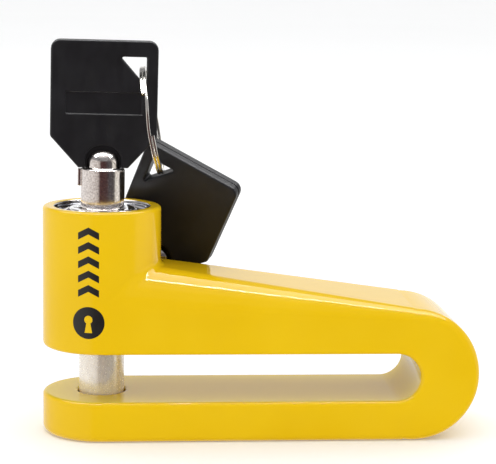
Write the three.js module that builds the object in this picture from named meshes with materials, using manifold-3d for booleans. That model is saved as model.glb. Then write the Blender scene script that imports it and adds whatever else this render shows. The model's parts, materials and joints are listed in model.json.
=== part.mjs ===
// Disc brake lock: a cast U-shaped body, a push-down plunger that carries the locking pin,
// a seven-pin tubular lock core, and two keys on a split ring.
// Millimetres, +Z up. The origin is on the locking pin's axis at the underside of the body,
// +X runs along the arm, and the keyed face of the lock looks up. Stored locked: plunger down, key in.

import * as THREE from "three";
import { mergeVertices } from "three/addons/utils/BufferGeometryUtils.js";
import Module from "manifold-3d";

const wasm = await Module();
wasm.setup();

// ---- driving dimensions --------------------------------------------------------------------

// Body casting
const BODY_HALF_WIDTH = 13;
const BODY_HEIGHT = 50.4;
const JAW_TOP = 8.94;
const SLOT_TOP = 19.45;
const SLOT_END_X = 64.4;
const END_X = 68.2;
const END_RADIUS = 14.6;
const ARM_TOP_AT_PIN = 39.3;
const ARM_SLOPE = 0.148;
const SHOULDER_AT_PIN = 9.2;
const SHOULDER_TAPER = 0.098;
const BASE_ROUND = 1.5;
const RIM_ROUND = 0.7;

// Plunger and locking pin
const TRAVEL = 14.5;
const BORE_RADIUS = 10.4;
const BORE_FLOOR = 22;
const PIN_RADIUS = 5;
const PIN_BOTTOM = 5;
const PIN_TOP = 31.8;
const PIN_CLEARANCE = 0.3;
const SLUG_RADIUS = 10.1;
const SLUG_BOTTOM = 22.5;
const SLUG_TOP = 48.4;
const SPRING_ROOM_TOP = 28.5;
const SPRING_ROOM_RADIUS = 7.7;
const CHANNEL_BOTTOM = 32.5;
const CHANNEL_TOP = 36;
const CHANNEL_HALF_WIDTH = 3.9;
const CROSS_PIN_Z = 30.4;
const CROSS_PIN_RADIUS = 1.2;
const CROSS_PIN_HALF_LENGTH = 9.6;
const GUIDE_PIN_Z = 45;
const GUIDE_PIN_RADIUS = 1.5;
const GUIDE_PIN_TIP = 8.6;
const GUIDE_PIN_END = 12.7;
const RETURN_SPRING_RADIUS = 6.8;
const RETURN_SPRING_WIRE = 0.5;
const RETURN_SPRING_HEIGHT = 6;

// Lock core
const SHELL_RADIUS = 7.3;
const SHELL_WALL = 0.6;
const FACE_TOP = 49.4;
const SHEAR_Z = 41.85;
const FRONT_BLOCK_TOP = 44.6;
const PIN_COUNT = 7;
const PIN_CIRCLE = 4.4;
const TUMBLER_RADIUS = 0.8;
const TUMBLER_HOLE = 0.95;
const DRIVER_LENGTH = 2.2;
const POST_RADIUS = 3.6;
const KEYWAY_HALF_WIDTH = 0.8;
const STEM_RADIUS = 1.6;
const TAIL_RADIUS = 1.1;
const CAM_RADIUS = 3.3;
const CAM_BOTTOM = 34.8;
const CAM_TOP = 35.9;
const FINGER_RADIUS = 0.8;
const FINGER_CIRCLE = 2;
const FINGER_ANGLE = -5.5;
const LATCH_BOTTOM = 32.8;
const LATCH_TOP = 34.5;
const LATCH_HALF_WIDTH = 3.4;
const LATCH_REACH = 11.3;

// Keys and ring, with each key's own origin on its axis at the tip
const KEY_TIP_Z = 45;
const KEY_TUBE_RADIUS = 4.8;
const KEY_TUBE_BORE = 3.95;
const KEY_SHOULDER = 13.6;
const KEY_DOME_RADIUS = 3.4;
const KEY_DOME_TOP = 17.7;
const KEY_DOME_ROUND = 2.8;
const KEY_CUTS = [0.6, 1.0, 0.4, 0.9, 0.3, 0.7, 1.1];
const TANG_LENGTH = 7;
const TANG_HALF_WIDTH = 2;
const TANG_HALF_THICKNESS = 0.9;
const HEAD_HALF_WIDTH = 11.6;
const HEAD_BOTTOM = 13.7;
const HEAD_CHAMFER_TOP = 20.4;
const HEAD_TOP = 41.4;
const HEAD_THICKNESS = 3.6;
const HEAD_CORNER = 2;
const HEAD_FOOT = 5.4;
const HEAD_ARCH = 3.9;
const HEAD_ARCH_TOP = 18.6;
const HEAD_ARCH_ROUND = 3.4;
const HEAD_WEB_THICKNESS = 1.8;
const RING_HOLE_NEAR = 3.4;
const RING_HOLE_FAR = 9.1;
const RING_HOLE_BOTTOM = 31.5;
const RING_HOLE_TOP = 37.9;
const RECESS_HALF_WIDTH = 8.3;
const RECESS_BOTTOM = 25.4;
const RECESS_TOP = 30.2;
const RECESS_DEPTH = 0.4;
const KEY_LEAN = 0.8;
const RING_RADIUS = 11.5;
const RING_WIRE_WIDTH = 0.6;
const RING_WIRE_HEIGHT = 1;
const RING_TURN_PITCH = 0.68;
const RING_STEP_ARC = 46;
const RING_STEP_PLACE = 277;

// Where the ring and the spare key hang while the first key is in the lock
const RING_CENTRE = new THREE.Vector3(10.91, 3.17, 68.75);
const RING_NORMAL = new THREE.Vector3(-1, 0.079, -0.184).normalize();
const SPARE_KEY_TIP = new THREE.Vector3(8.35, 22.59, 24.65);
const SPARE_KEY_TURN = 153.87;
const SPARE_KEY_LEAN = -18.71;
const SPARE_KEY_ROLL = -28.06;

const GAP = 0.3;
// How far a cutter runs past the face that it opens.
const PAST = 1;
const RAD = Math.PI / 180;

// ---- materials -----------------------------------------------------------------------------

function finish(color, roughness, metalness) {
  return new THREE.MeshStandardMaterial({ color, roughness, metalness });
}

const YELLOW_GLOSS = finish(0xf2c40e, 0.15, 0);
const NICKEL = finish(0xc9c2bb, 0.25, 1);
const CHROME = finish(0xe4e4e6, 0.06, 1);
const ZINC = finish(0xa9abad, 0.4, 1);
const BRASS = finish(0xc7a252, 0.3, 1);
const SPRING_STEEL = finish(0x8f9194, 0.35, 1);
const HARD_STEEL = finish(0x9a9a9c, 0.3, 1);
const BLACK_PLASTIC = finish(0x17181b, 0.45, 0);

// ---- solids --------------------------------------------------------------------------------

// A closed geometry as a solid that can be cut and joined.
function solid(geometry) {
  const bare = geometry.clone();
  bare.deleteAttribute("normal");
  bare.deleteAttribute("uv");
  const merged = mergeVertices(bare, 1e-4);
  return new wasm.Manifold(
    new wasm.Mesh({
      numProp: 3,
      vertProperties: merged.attributes.position.array,
      triVerts: new Uint32Array(merged.index.array),
    }),
  );
}

function geometryOf(body) {
  const mesh = body.getMesh();
  const geometry = new THREE.BufferGeometry();
  geometry.setAttribute("position", new THREE.BufferAttribute(mesh.vertProperties, mesh.numProp));
  geometry.setIndex(new THREE.BufferAttribute(mesh.triVerts, 1));
  geometry.computeVertexNormals();
  return geometry;
}

const joined = (...bodies) => bodies.reduce((whole, next) => whole.add(next));
const cut = (body, ...tools) => tools.reduce((rest, tool) => rest.subtract(tool), body);

// A solid of revolution about Z from a profile of [radius, z] points that closes on itself.
function turned(profile, segments = 48) {
  const points = profile.map(([r, z]) => new THREE.Vector2(r, z));
  points.push(points[0].clone());
  return solid(new THREE.LatheGeometry(points, segments).rotateX(Math.PI / 2));
}

function rod(radius, z0, z1, segments = 16) {
  const cylinder = new THREE.CylinderGeometry(radius, radius, z1 - z0, segments);
  return solid(cylinder.rotateX(Math.PI / 2).translate(0, 0, (z0 + z1) / 2));
}

// A rod along X or Y, between two places on that axis.
function crossRod(axis, radius, from, to, z, segments = 12) {
  const cylinder = new THREE.CylinderGeometry(radius, radius, to - from, segments);
  if (axis === "x") cylinder.rotateZ(-Math.PI / 2).translate((from + to) / 2, 0, z);
  else cylinder.translate(0, (from + to) / 2, z);
  return solid(cylinder);
}

function block(x0, x1, y0, y1, z0, z1) {
  const box = new THREE.BoxGeometry(x1 - x0, y1 - y0, z1 - z0);
  return solid(box.translate((x0 + x1) / 2, (y0 + y1) / 2, (z0 + z1) / 2));
}

// A shape drawn in X and Z, as thick as given and centred on Y.
function plate(shape, thickness, curveSegments = 12, bevel = 0) {
  const geometry = new THREE.ExtrudeGeometry(shape, {
    depth: thickness - 2 * bevel,
    curveSegments,
    bevelEnabled: bevel > 0,
    bevelSize: bevel,
    bevelThickness: bevel,
    bevelOffset: -bevel,
    bevelSegments: 2,
  });
  return solid(geometry.rotateX(Math.PI / 2).translate(0, thickness / 2 - bevel, 0));
}

// A coil spring about Z that stands on z = 0: a straight bar bent round its turns.
function spring(wireRadius, radius, turns, height, stepsPerTurn = 12, sides = 6) {
  const pitch = (height - 2 * wireRadius) / turns;
  const bar = new THREE.CylinderGeometry(wireRadius, wireRadius, turns, sides, turns * stepsPerTurn);
  const place = bar.rotateY(Math.PI).attributes.position;
  for (let i = 0; i < place.count; i++) {
    const turn = place.getY(i) + turns / 2;
    const r = radius + place.getX(i);
    const angle = turn * 2 * Math.PI;
    place.setXYZ(i, r * Math.cos(angle), r * Math.sin(angle), wireRadius + turn * pitch + place.getZ(i));
  }
  return solid(bar);
}

// ---- body ----------------------------------------------------------------------------------

const armTop = (x) => ARM_TOP_AT_PIN - ARM_SLOPE * x;
const armShoulder = (x) => SHOULDER_AT_PIN - SHOULDER_TAPER * x;

// The arm and the jaw under it, as one block whose top falls and whose upper edges round off less
// towards the far end.
function armBlock() {
  const rings = [0, END_X].map((x) => {
    const section = new THREE.Shape();
    const w = BODY_HALF_WIDTH;
    const r = armShoulder(x);
    const top = armTop(x);
    section.moveTo(-w + BASE_ROUND, 0);
    section.lineTo(w - BASE_ROUND, 0);
    section.absarc(w - BASE_ROUND, BASE_ROUND, BASE_ROUND, -Math.PI / 2, 0);
    section.absarc(w - r, top - r, r, 0, Math.PI / 2);
    section.absarc(-w + r, top - r, r, Math.PI / 2, Math.PI);
    section.absarc(-w + BASE_ROUND, BASE_ROUND, BASE_ROUND, Math.PI, 1.5 * Math.PI);
    return section.extractPoints(6).shape.map((p) => new THREE.Vector3(x, p.x, p.y));
  });
  return lofted(rings);
}

// A closed skin over rings that hold the same number of points, with flat ends.
function lofted(rings) {
  const count = rings[0].length;
  const flat = rings[0].map((p) => new THREE.Vector2(p.y, p.z));
  const cap = THREE.ShapeUtils.triangulateShape(flat, []);
  const index = [];
  const last = (rings.length - 1) * count;
  for (const [a, b, c] of cap) index.push(a, c, b, last + a, last + b, last + c);
  for (let ring = 0; ring < rings.length - 1; ring++) {
    for (let i = 0; i < count; i++) {
      const a = ring * count + i;
      const b = ring * count + ((i + 1) % count);
      index.push(a, b, b + count, a, b + count, a + count);
    }
  }
  const geometry = new THREE.BufferGeometry().setFromPoints(rings.flat());
  geometry.setIndex(index);
  return solid(geometry);
}

// The half-round bend that joins the arm to the jaw at the far end.
function endBend() {
  const overlap = 4;
  const edgeRound = 1.75;
  const shape = new THREE.Shape();
  shape.moveTo(END_X - overlap, 0);
  shape.lineTo(END_X, 0);
  shape.absarc(END_X, END_RADIUS, END_RADIUS, -Math.PI / 2, Math.PI / 2);
  shape.lineTo(END_X - overlap, 2 * END_RADIUS);
  return plate(shape, 2 * BODY_HALF_WIDTH, 18, edgeRound);
}

function discSlot() {
  const middle = (JAW_TOP + SLOT_TOP) / 2;
  const radius = (SLOT_TOP - JAW_TOP) / 2;
  const past = BODY_HALF_WIDTH + 5;
  const shape = new THREE.Shape();
  shape.moveTo(-past, JAW_TOP);
  shape.lineTo(SLOT_END_X, JAW_TOP);
  shape.absarc(SLOT_END_X, middle, radius, -Math.PI / 2, Math.PI / 2);
  shape.lineTo(-past, SLOT_TOP);
  return plate(shape, 2 * past, 14);
}

// The groove in the bore's wall that holds the latch bolt's nose.
function latchRoom() {
  const halfWidth = LATCH_HALF_WIDTH + 2 * GAP;
  const bottom = LATCH_BOTTOM - 0.5;
  return block(PIN_RADIUS, LATCH_REACH + 0.4, -halfWidth, halfWidth, bottom, LATCH_TOP + TRAVEL + 0.2);
}

function bodyCasting() {
  const w = BODY_HALF_WIDTH;
  const post = turned(
    [
      [0, 0],
      [w - BASE_ROUND, 0],
      [w - BASE_ROUND * 0.3, BASE_ROUND * 0.3],
      [w, BASE_ROUND],
      [w, BODY_HEIGHT - RIM_ROUND],
      [w - RIM_ROUND * 0.3, BODY_HEIGHT - RIM_ROUND * 0.3],
      [w - RIM_ROUND, BODY_HEIGHT],
      [0, BODY_HEIGHT],
    ],
    64,
  );
  const pinHole = rod(PIN_RADIUS + PIN_CLEARANCE, PIN_BOTTOM - 2, BORE_FLOOR + PAST, 40);
  const bore = rod(BORE_RADIUS, BORE_FLOOR, BODY_HEIGHT + PAST, 64);
  const guideHole = crossRod("y", GUIDE_PIN_RADIUS + GAP, BORE_RADIUS - PAST, w + PAST, GUIDE_PIN_Z);
  return cut(joined(armBlock(), endBend(), post), discSlot(), pinHole, bore, guideHole, latchRoom());
}

// ---- plunger -------------------------------------------------------------------------------

function plungerBarrel() {
  const slug = turned(
    [
      [0, SLUG_BOTTOM],
      [SLUG_RADIUS - 0.5, SLUG_BOTTOM],
      [SLUG_RADIUS, SLUG_BOTTOM + 0.5],
      [SLUG_RADIUS, SLUG_TOP],
      [0, SLUG_TOP],
    ],
    48,
  );
  const past = SLUG_RADIUS + PAST;
  const springRoom = rod(SPRING_ROOM_RADIUS, SLUG_BOTTOM - PAST, SPRING_ROOM_TOP, 32);
  const pinSocket = rod(PIN_RADIUS + GAP, SLUG_BOTTOM, PIN_TOP + GAP, 32);
  const crossHole = crossRod("x", CROSS_PIN_RADIUS + GAP, -past, past, CROSS_PIN_Z);
  const width = CHANNEL_HALF_WIDTH;
  const channel = block(-6.5, past, -width, width, CHANNEL_BOTTOM, CHANNEL_TOP + PAST);
  const lockRoom = rod(SHELL_RADIUS + GAP, CHANNEL_TOP, SLUG_TOP + PAST, 40);
  const groove = GUIDE_PIN_RADIUS + GAP;
  const end = groove + 0.1;
  const guideGroove = block(
    -groove,
    groove,
    GUIDE_PIN_TIP - 0.4,
    past,
    GUIDE_PIN_Z - TRAVEL - end,
    GUIDE_PIN_Z + end,
  );
  return cut(slug, springRoom, pinSocket, crossHole, channel, lockRoom, guideGroove);
}

function lockingPin() {
  const nose = 1;
  const pin = turned(
    [
      [0, PIN_BOTTOM],
      [PIN_RADIUS - nose, PIN_BOTTOM],
      [PIN_RADIUS, PIN_BOTTOM + nose],
      [PIN_RADIUS, PIN_TOP - 0.4],
      [PIN_RADIUS - 0.4, PIN_TOP],
      [0, PIN_TOP],
    ],
    40,
  );
  const past = PIN_RADIUS + PAST;
  return cut(pin, crossRod("x", CROSS_PIN_RADIUS + GAP, -past, past, CROSS_PIN_Z));
}

function faceRing() {
  return turned([
    [SHELL_RADIUS + GAP, SLUG_TOP + 0.1],
    [SLUG_RADIUS - 0.1, SLUG_TOP + 0.1],
    [SLUG_RADIUS - 0.1, FACE_TOP - 0.3],
    [SLUG_RADIUS - 0.4, FACE_TOP],
    [SHELL_RADIUS + GAP, FACE_TOP],
  ]);
}

// ---- lock core -----------------------------------------------------------------------------

function lockShell() {
  const inner = SHELL_RADIUS - SHELL_WALL;
  return turned(
    [
      [inner, CHANNEL_TOP + 0.2],
      [SHELL_RADIUS, CHANNEL_TOP + 0.2],
      [SHELL_RADIUS, SLUG_TOP - 0.2],
      [inner, SLUG_TOP - 0.2],
    ],
    40,
  );
}

// The round cover over the shell, with the keyway notch that the key's tab passes.
function lockBezel() {
  const opening = KEY_TUBE_RADIUS + 0.4;
  const cover = turned([
    [opening, SLUG_TOP],
    [SHELL_RADIUS, SLUG_TOP],
    [SHELL_RADIUS, FACE_TOP + 0.1],
    [SHELL_RADIUS - 0.5, FACE_TOP + 0.5],
    [opening + 0.3, FACE_TOP + 0.5],
    [opening, FACE_TOP + 0.2],
  ]);
  const notch = KEYWAY_HALF_WIDTH;
  return cut(cover, block(-opening - 0.9, -opening + PAST, -notch, notch, SLUG_TOP - PAST, FACE_TOP + PAST));
}

// Where each of the seven pins stands round the core.
const PIN_PLACES = Array.from({ length: PIN_COUNT }, (_, i) => {
  const angle = ((i + 0.5) * 2 * Math.PI) / PIN_COUNT;
  return { x: PIN_CIRCLE * Math.cos(angle), y: PIN_CIRCLE * Math.sin(angle) };
});

function roundOfHoles(z0, z1) {
  return PIN_PLACES.map(({ x, y }) => rod(TUMBLER_HOLE, z0, z1, 12).translate(x, y, 0));
}

const BLOCK_RADIUS = SHELL_RADIUS - SHELL_WALL - GAP;

function rearPinBlock() {
  const inner = STEM_RADIUS + GAP + 0.1;
  const bottom = CHANNEL_TOP + 0.4;
  const top = SHEAR_Z - GAP / 2;
  const drum = turned(
    [
      [inner, bottom],
      [BLOCK_RADIUS, bottom],
      [BLOCK_RADIUS, top],
      [inner, top],
    ],
    36,
  );
  return cut(drum, ...roundOfHoles(bottom + 0.4, SHEAR_Z + PAST));
}

// The turning front block, with the centre post that guides the key and the tail that drives the cam.
function coreSpindle() {
  const front = turned(
    [
      [0, CAM_BOTTOM + 0.1],
      [TAIL_RADIUS, CAM_BOTTOM + 0.1],
      [TAIL_RADIUS, CAM_TOP + GAP],
      [STEM_RADIUS, CAM_TOP + GAP],
      [STEM_RADIUS, SHEAR_Z + GAP / 2],
      [BLOCK_RADIUS, SHEAR_Z + GAP / 2],
      [BLOCK_RADIUS, FRONT_BLOCK_TOP],
      [POST_RADIUS, FRONT_BLOCK_TOP],
      [POST_RADIUS, FACE_TOP - 0.8],
      [POST_RADIUS - 0.4, FACE_TOP - 0.4],
      [0, FACE_TOP - 0.4],
    ],
    36,
  );
  const groove = block(
    -POST_RADIUS - PAST,
    -POST_RADIUS + 0.9,
    -KEYWAY_HALF_WIDTH,
    KEYWAY_HALF_WIDTH,
    FRONT_BLOCK_TOP + 0.1,
    FACE_TOP + PAST,
  );
  return cut(front, ...roundOfHoles(SHEAR_Z - PAST, FRONT_BLOCK_TOP + PAST), groove);
}

function camPlate() {
  const angle = FINGER_ANGLE * RAD;
  const disc = rod(CAM_RADIUS, CAM_BOTTOM, CAM_TOP, 24);
  const upright = rod(FINGER_RADIUS, LATCH_BOTTOM + 0.2, CAM_BOTTOM + 0.2, 12);
  const finger = upright.translate(FINGER_CIRCLE * Math.cos(angle), FINGER_CIRCLE * Math.sin(angle), 0);
  const tailHole = rod(TAIL_RADIUS + GAP - 0.05, CAM_BOTTOM - PAST, CAM_TOP + PAST, 12);
  return cut(joined(disc, finger), tailHole);
}

// The sliding bolt that the cam's finger draws in, with its nose in the wall of the body.
function latchBolt() {
  const tail = -4.4;
  const lead = 1;
  const side = new THREE.Shape();
  side.moveTo(tail, LATCH_BOTTOM);
  side.lineTo(LATCH_REACH, LATCH_BOTTOM);
  side.lineTo(LATCH_REACH, LATCH_TOP - lead);
  side.lineTo(LATCH_REACH - lead, LATCH_TOP);
  side.lineTo(tail, LATCH_TOP);
  const bolt = plate(side, 2 * LATCH_HALF_WIDTH);
  const middle = FINGER_CIRCLE * Math.cos(FINGER_ANGLE * RAD);
  const play = 0.6;
  const across = FINGER_RADIUS + play;
  const along = FINGER_CIRCLE + FINGER_RADIUS + 0.1;
  const slot = block(middle - across, middle + across, -along, along, LATCH_BOTTOM - PAST, LATCH_TOP + PAST);
  return cut(bolt, slot);
}

// ---- keys and ring -------------------------------------------------------------------------

// The dome's profile, from its foot to its flat top, grown by the given amount.
function domeProfile(grown = 0) {
  const points = [[KEY_DOME_RADIUS + grown, KEY_SHOULDER]];
  const reach = KEY_DOME_ROUND + grown;
  for (const degrees of [0, 30, 60, 90]) {
    const across = reach * Math.cos(degrees * RAD);
    const up = reach * Math.sin(degrees * RAD);
    points.push([KEY_DOME_RADIUS - KEY_DOME_ROUND + across, KEY_DOME_TOP - KEY_DOME_ROUND + up]);
  }
  points.push([0, KEY_DOME_TOP + grown]);
  return points;
}

// The metal half of a key: tubular bit with its cuts, dome, and the tang inside the plastic head.
function keyTube() {
  const r = KEY_TUBE_RADIUS;
  const tube = turned(
    [
      [KEY_TUBE_BORE, 0],
      [r - 0.2, 0],
      [r, 0.2],
      [r, KEY_SHOULDER - 0.4],
      [r - 0.4, KEY_SHOULDER],
      ...domeProfile(),
      [0, KEY_SHOULDER - 2],
      [KEY_TUBE_BORE, KEY_SHOULDER - 2],
    ],
    40,
  );
  const rib = block(-KEY_TUBE_BORE - 0.3, -KEY_TUBE_BORE + 0.95, -0.5, 0.5, 0.6, KEY_SHOULDER - 3);
  const sideTab = block(-r - 0.7, -r + 0.3, -0.8, 0.8, KEY_SHOULDER - 4, KEY_SHOULDER - 0.2);
  const tangTop = KEY_DOME_TOP + TANG_LENGTH;
  const tang = block(
    -TANG_HALF_WIDTH,
    TANG_HALF_WIDTH,
    -TANG_HALF_THICKNESS,
    TANG_HALF_THICKNESS,
    KEY_DOME_TOP - 1.2,
    tangTop,
  );
  const cuts = PIN_PLACES.map(({ x, y }, i) => rod(TUMBLER_HOLE, -PAST, KEY_CUTS[i], 10).translate(x, y, 0));
  return cut(joined(tube, rib, sideTab, tang), ...cuts);
}

function headOutline() {
  const w = HEAD_HALF_WIDTH;
  const c = HEAD_CORNER;
  const foot = HEAD_FOOT;
  const outline = new THREE.Shape();
  outline.moveTo(foot, HEAD_BOTTOM);
  outline.lineTo(w, HEAD_CHAMFER_TOP);
  outline.absarc(w - c, HEAD_TOP - c, c, 0, Math.PI / 2);
  outline.absarc(-w + c, HEAD_TOP - c, c, Math.PI / 2, Math.PI);
  outline.lineTo(-w, HEAD_CHAMFER_TOP);
  outline.lineTo(-foot, HEAD_BOTTOM);
  const hole = new THREE.Path();
  hole.moveTo(RING_HOLE_FAR, RING_HOLE_TOP);
  hole.lineTo(RING_HOLE_FAR, RING_HOLE_BOTTOM);
  hole.lineTo(RING_HOLE_NEAR, RING_HOLE_TOP);
  outline.holes.push(hole);
  return outline;
}

// The arch over the dome, cut into one face of the head and leaving a web in its middle.
function archRecess(side) {
  const round = HEAD_ARCH_ROUND;
  const springing = HEAD_ARCH_TOP - round;
  const shape = new THREE.Shape();
  shape.moveTo(-HEAD_ARCH, HEAD_BOTTOM - PAST);
  shape.lineTo(HEAD_ARCH, HEAD_BOTTOM - PAST);
  shape.absarc(HEAD_ARCH - round, springing, round, 0, Math.PI / 2);
  shape.absarc(-HEAD_ARCH + round, springing, round, Math.PI / 2, Math.PI);
  const depth = HEAD_THICKNESS;
  return plate(shape, depth, 5).translate(0, (side * (HEAD_WEB_THICKNESS + depth)) / 2, 0);
}

function keyHead() {
  const slab = plate(headOutline(), HEAD_THICKNESS, 5);
  const front = -HEAD_THICKNESS / 2;
  const width = RECESS_HALF_WIDTH;
  const labelRecess = block(-width, width, front - PAST, front + RECESS_DEPTH, RECESS_BOTTOM, RECESS_TOP);
  const halfWidth = TANG_HALF_WIDTH + GAP;
  const halfDepth = TANG_HALF_THICKNESS + GAP;
  const pocketTop = KEY_DOME_TOP + TANG_LENGTH + GAP;
  const pocket = block(-halfWidth, halfWidth, -halfDepth, halfDepth, KEY_DOME_TOP - PAST, pocketTop);
  const roomFoot = HEAD_BOTTOM - PAST;
  const roomRadius = KEY_DOME_RADIUS + GAP;
  const domeRoom = turned([[0, roomFoot], [roomRadius, roomFoot], ...domeProfile(GAP)], 40);
  return cut(slab, labelRecess, archRecess(-1), archRecess(1), domeRoom, pocket);
}

// A split ring about Z: flat strip in two level turns side by side, with one sideways step between
// them. The strip's two ends stop short of each other on either side of the step.
function splitRing() {
  const turns = 2;
  const step = RING_STEP_ARC / 360;
  const swept = turns - step;
  const bar = new THREE.BoxGeometry(RING_WIRE_HEIGHT, swept, RING_WIRE_WIDTH, 1, 92, 1).rotateY(Math.PI);
  const place = bar.attributes.position;
  for (let i = 0; i < place.count; i++) {
    const turn = place.getY(i) + turns / 2;
    const side = 0.5 - THREE.MathUtils.smoothstep(turn, 1 - step / 2, 1 + step / 2);
    const r = RING_RADIUS + place.getX(i);
    const angle = turn * 2 * Math.PI;
    place.setXYZ(i, r * Math.cos(angle), r * Math.sin(angle), place.getZ(i) + side * RING_TURN_PITCH);
  }
  return solid(bar);
}

// ---- assembly ------------------------------------------------------------------------------

function piece(parent, name, body, material) {
  const mesh = new THREE.Mesh(geometryOf(body), material.clone());
  mesh.name = name;
  parent.add(mesh);
  return mesh;
}

function key(parent, name) {
  const group = new THREE.Group();
  piece(group, name + "_tube", keyTube(), NICKEL);
  piece(group, name + "_head", keyHead(), BLACK_PLASTIC);
  parent.add(group);
  return group;
}

const discLock = new THREE.Group();

piece(discLock, "body_casting", bodyCasting(), YELLOW_GLOSS);
const guidePin = crossRod("y", GUIDE_PIN_RADIUS, GUIDE_PIN_TIP, GUIDE_PIN_END, GUIDE_PIN_Z, 16);
piece(discLock, "guide_pin", guidePin, HARD_STEEL);
const returnSpring = spring(RETURN_SPRING_WIRE, RETURN_SPRING_RADIUS, 4, RETURN_SPRING_HEIGHT, 14);
piece(discLock, "return_spring", returnSpring, SPRING_STEEL).position.z = BORE_FLOOR + 0.2;

const plunger = new THREE.Group();
discLock.add(plunger);
piece(plunger, "plunger_barrel", plungerBarrel(), ZINC);
piece(plunger, "locking_pin", lockingPin(), NICKEL);
const crossPin = crossRod("x", CROSS_PIN_RADIUS, -CROSS_PIN_HALF_LENGTH, CROSS_PIN_HALF_LENGTH, CROSS_PIN_Z);
piece(plunger, "pin_cross_pin", crossPin, HARD_STEEL);
piece(plunger, "face_ring", faceRing(), CHROME);
piece(plunger, "lock_shell", lockShell(), BRASS);
piece(plunger, "lock_bezel", lockBezel(), CHROME);
piece(plunger, "rear_pin_block", rearPinBlock(), BRASS);
PIN_PLACES.forEach(({ x, y }, i) => {
  const driverBottom = SHEAR_Z - DRIVER_LENGTH - 0.2;
  const driver = rod(TUMBLER_RADIUS, 0, DRIVER_LENGTH, 10);
  piece(plunger, `driver_pin_${i + 1}`, driver, HARD_STEEL).position.set(x, y, driverBottom);
  const height = DRIVER_LENGTH;
  const driverSpring = spring(0.15, 0.6, 4, height, 8, 4);
  const springBottom = driverBottom - height - 0.2;
  piece(plunger, `driver_spring_${i + 1}`, driverSpring, SPRING_STEEL).position.set(x, y, springBottom);
});
piece(plunger, "latch_bolt", latchBolt(), HARD_STEEL);

const core = new THREE.Group();
plunger.add(core);
piece(core, "core_spindle", coreSpindle(), NICKEL);
piece(core, "cam_plate", camPlate(), HARD_STEEL);
PIN_PLACES.forEach(({ x, y }, i) => {
  const bottom = SHEAR_Z + 0.1;
  const keyPin = rod(TUMBLER_RADIUS, 0, KEY_TIP_Z + KEY_CUTS[i] - 0.15 - bottom, 10);
  piece(core, `key_pin_${i + 1}`, keyPin, BRASS).position.set(x, y, bottom);
});

const keyInLock = key(core, "key_1");
keyInLock.position.z = KEY_TIP_Z;
keyInLock.rotation.y = KEY_LEAN * RAD;

const ring = piece(discLock, "key_ring", splitRing(), NICKEL);
ring.position.copy(RING_CENTRE);
ring.quaternion.setFromUnitVectors(new THREE.Vector3(0, 0, 1), RING_NORMAL);
ring.rotateZ(RING_STEP_PLACE * RAD);

const spareKey = key(discLock, "key_2");
spareKey.position.copy(SPARE_KEY_TIP);
spareKey.rotation.set(SPARE_KEY_LEAN * RAD, SPARE_KEY_ROLL * RAD, SPARE_KEY_TURN * RAD, "ZXY");

export default discLock;
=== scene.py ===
import json
import math

import bmesh
import bpy
import numpy as np
from mathutils import Matrix, Vector


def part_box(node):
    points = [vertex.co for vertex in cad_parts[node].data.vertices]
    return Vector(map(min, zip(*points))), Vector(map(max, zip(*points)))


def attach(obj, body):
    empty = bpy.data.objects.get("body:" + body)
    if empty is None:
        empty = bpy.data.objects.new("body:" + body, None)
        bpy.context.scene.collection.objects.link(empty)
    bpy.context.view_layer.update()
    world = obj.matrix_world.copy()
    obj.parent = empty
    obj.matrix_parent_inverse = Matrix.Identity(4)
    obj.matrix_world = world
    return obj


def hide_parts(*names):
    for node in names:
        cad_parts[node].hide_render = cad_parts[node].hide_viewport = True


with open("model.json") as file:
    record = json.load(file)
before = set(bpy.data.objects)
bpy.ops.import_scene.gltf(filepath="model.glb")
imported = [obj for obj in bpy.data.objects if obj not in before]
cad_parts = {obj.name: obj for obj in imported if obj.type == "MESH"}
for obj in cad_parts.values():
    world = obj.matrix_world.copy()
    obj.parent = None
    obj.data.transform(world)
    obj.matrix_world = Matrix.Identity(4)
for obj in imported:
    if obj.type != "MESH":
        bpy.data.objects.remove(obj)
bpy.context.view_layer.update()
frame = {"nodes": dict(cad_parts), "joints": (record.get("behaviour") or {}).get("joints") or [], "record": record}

MM = 0.001


def box_mm(node):
    """The lowest and highest corner of a CAD node, in millimetres."""
    low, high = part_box(node)
    return np.array(low) / MM, np.array(high) / MM


# ---- sizes taken from the frame -----------------------------------------------------------

BODY_LOW, BODY_HIGH = box_mm("body_casting")
# The printed marks stand this much proud of the enamel, so the enamel is drawn in by as much.
INK_LIFT = 0.02
HALF_WIDTH = BODY_HIGH[1] - INK_LIFT
HEIGHT = BODY_HIGH[2]
END_X = BODY_HIGH[0]
PIN_LOW, PIN_HIGH = box_mm("locking_pin")
PIN_RADIUS = PIN_HIGH[0]
RING_LOW, RING_HIGH = box_mm("face_ring")
BEZEL_LOW, BEZEL_HIGH = box_mm("lock_bezel")
SLUG_LOW, SLUG_HIGH = box_mm("plunger_barrel")
SPINDLE_LOW, SPINDLE_HIGH = box_mm("core_spindle")
GUIDE_LOW, GUIDE_HIGH = box_mm("guide_pin")

# Gap round a pin that slides or stands in a hole
RUNNING_GAP = 0.3

# Body casting
# The disc slot lies between JAW_TOP and SLOT_TOP, and its round end begins at SLOT_END.
JAW_TOP = 8.94
SLOT_TOP = 19.45
SLOT_END = 64.4
BEND_RADIUS = 14.6
BEND_X = END_X - BEND_RADIUS
ARM_SLOPE = 0.148
# The arm's shoulder is rounded by this much at the pin, and by less towards the far end.
SHOULDER = 9.2
SHOULDER_TAPER = 0.098
SHOULDER_LEAST = 1.9
BASE_ROUND = 1.5
RIM_ROUND = 0.75
SLOT_ROUND = 0.8
BORE_RADIUS = 10.4
BORE_FLOOR = 22
PIN_HOLE = PIN_RADIUS + RUNNING_GAP
PIN_HOLE_FLOOR = 3
CREASE_ROUND = 1.1
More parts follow.
